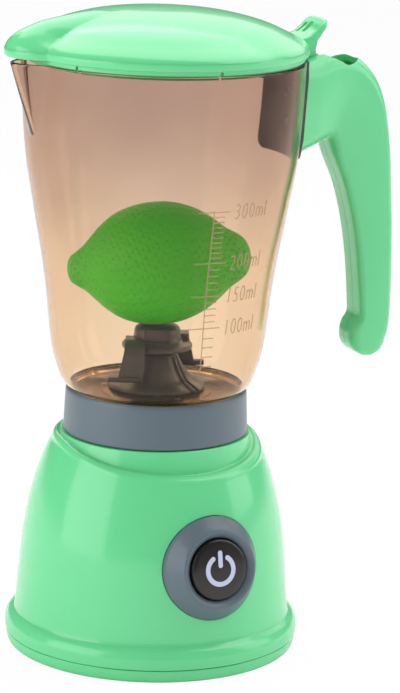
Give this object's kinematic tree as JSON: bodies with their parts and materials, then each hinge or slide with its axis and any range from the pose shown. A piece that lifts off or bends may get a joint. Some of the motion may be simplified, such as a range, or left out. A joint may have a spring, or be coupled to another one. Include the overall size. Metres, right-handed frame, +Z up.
{
  "type": "toy blender",
  "caption": "Toy blender in mint plastic: smoky lift-off jug with scale, domed flip lid, curved handle, spinning impeller and loose lime, on a battery base with a push button",
  "frame": {"origin": "centre of the underside of the base, on the drive axis", "axes": "+Z up along the drive axis, -Y the front with the button and the scale, +X the handle side, -X the spout side"},
  "size_m": [0.1499, 0.1071, 0.2318],
  "materials": {
    "mint": "glossy mint moulding",
    "slate": "satin slate grey",
    "smoke": "clear smoky brown",
    "dark_smoke": "dark brown",
    "black": "black",
    "white": "natural white",
    "steel": "zinc plated",
    "brass": "plain",
    "cell": "battery sleeve",
    "green": "dimpled lime skin"
  },
  "bodies": {
    "base": {"base_shell": "mint", "bottom_cover": "mint", "cover_screw_1": "steel", "cover_screw_2": "steel", "cover_screw_3": "steel", "cover_screw_4": "steel", "battery_door": "mint", "battery_tray": "black", "battery_1": "cell", "battery_2": "cell", "contact_bridge": "brass", "contact_plate_1": "brass", "contact_plate_2": "brass", "contact_spring_1": "brass", "contact_spring_2": "brass", "collar_ring": "slate", "motor_holder": "white", "motor_can": "steel", "neck_screw_1": "steel", "neck_screw_2": "steel", "neck_screw_3": "steel", "bezel": "slate", "switch_cradle": "white", "push_switch": "black"},
    "motor_drive": {"motor_shaft": "steel", "motor_coupling": "white"},
    "button_body": {"button": "black", "switch_plunger": "white"},
    "jug_body": {"jug": "smoke", "jug_spigot": "dark_smoke", "spigot_screw_1": "steel", "spigot_screw_2": "steel", "spigot_screw_3": "steel", "spindle_cone": "dark_smoke", "jug_bush": "brass", "handle_pad": "dark_smoke", "handle_front_half": "mint", "handle_rear_half": "mint", "handle_screw_1": "steel", "handle_screw_2": "steel", "handle_screw_3": "steel", "handle_bracket": "dark_smoke", "bracket_screw_1": "steel", "bracket_screw_2": "steel", "hinge_pin": "steel"},
    "impeller_body": {"impeller": "dark_smoke", "impeller_spindle": "steel", "jug_coupling": "white"},
    "lid_body": {"lid": "mint"},
    "lime_body": {"lime": "green"}
  },
  "joints": [
    {"name": "jug_lift", "type": "slide", "parent": "base", "child": "jug_body", "axis": [0, 0, 1], "range_m": [0, 0.12]},
    {"name": "button_press", "type": "slide", "parent": "base", "child": "button_body", "axis": [-0.0691, 0.9879, -0.1392], "range_m": [0, 0.002], "stiffness_N_per_m": 400},
    {"name": "motor_spin", "type": "hinge", "parent": "base", "child": "motor_drive", "pos_m": [0, 0, 0], "axis": [0, 0, 1], "continuous": true},
    {"name": "impeller_spin", "type": "hinge", "parent": "jug_body", "child": "impeller_body", "pos_m": [0, 0, 0], "axis": [0, 0, 1], "continuous": true},
    {"name": "lid_hinge", "type": "hinge", "parent": "jug_body", "child": "lid_body", "pos_m": [0.0546, 0, 0.2114], "axis": [0, 1, 0], "range_deg": [0, 80]},
    {"name": "lime_turn", "type": "hinge", "parent": "jug_body", "child": "lime_body", "pos_m": [0, 0, 0.1403], "axis": [0, 0, 1], "continuous": true}
  ],
  "couplings": [
    {"joint": "impeller_spin", "follows": "motor_spin", "ratio": 1}
  ]
}
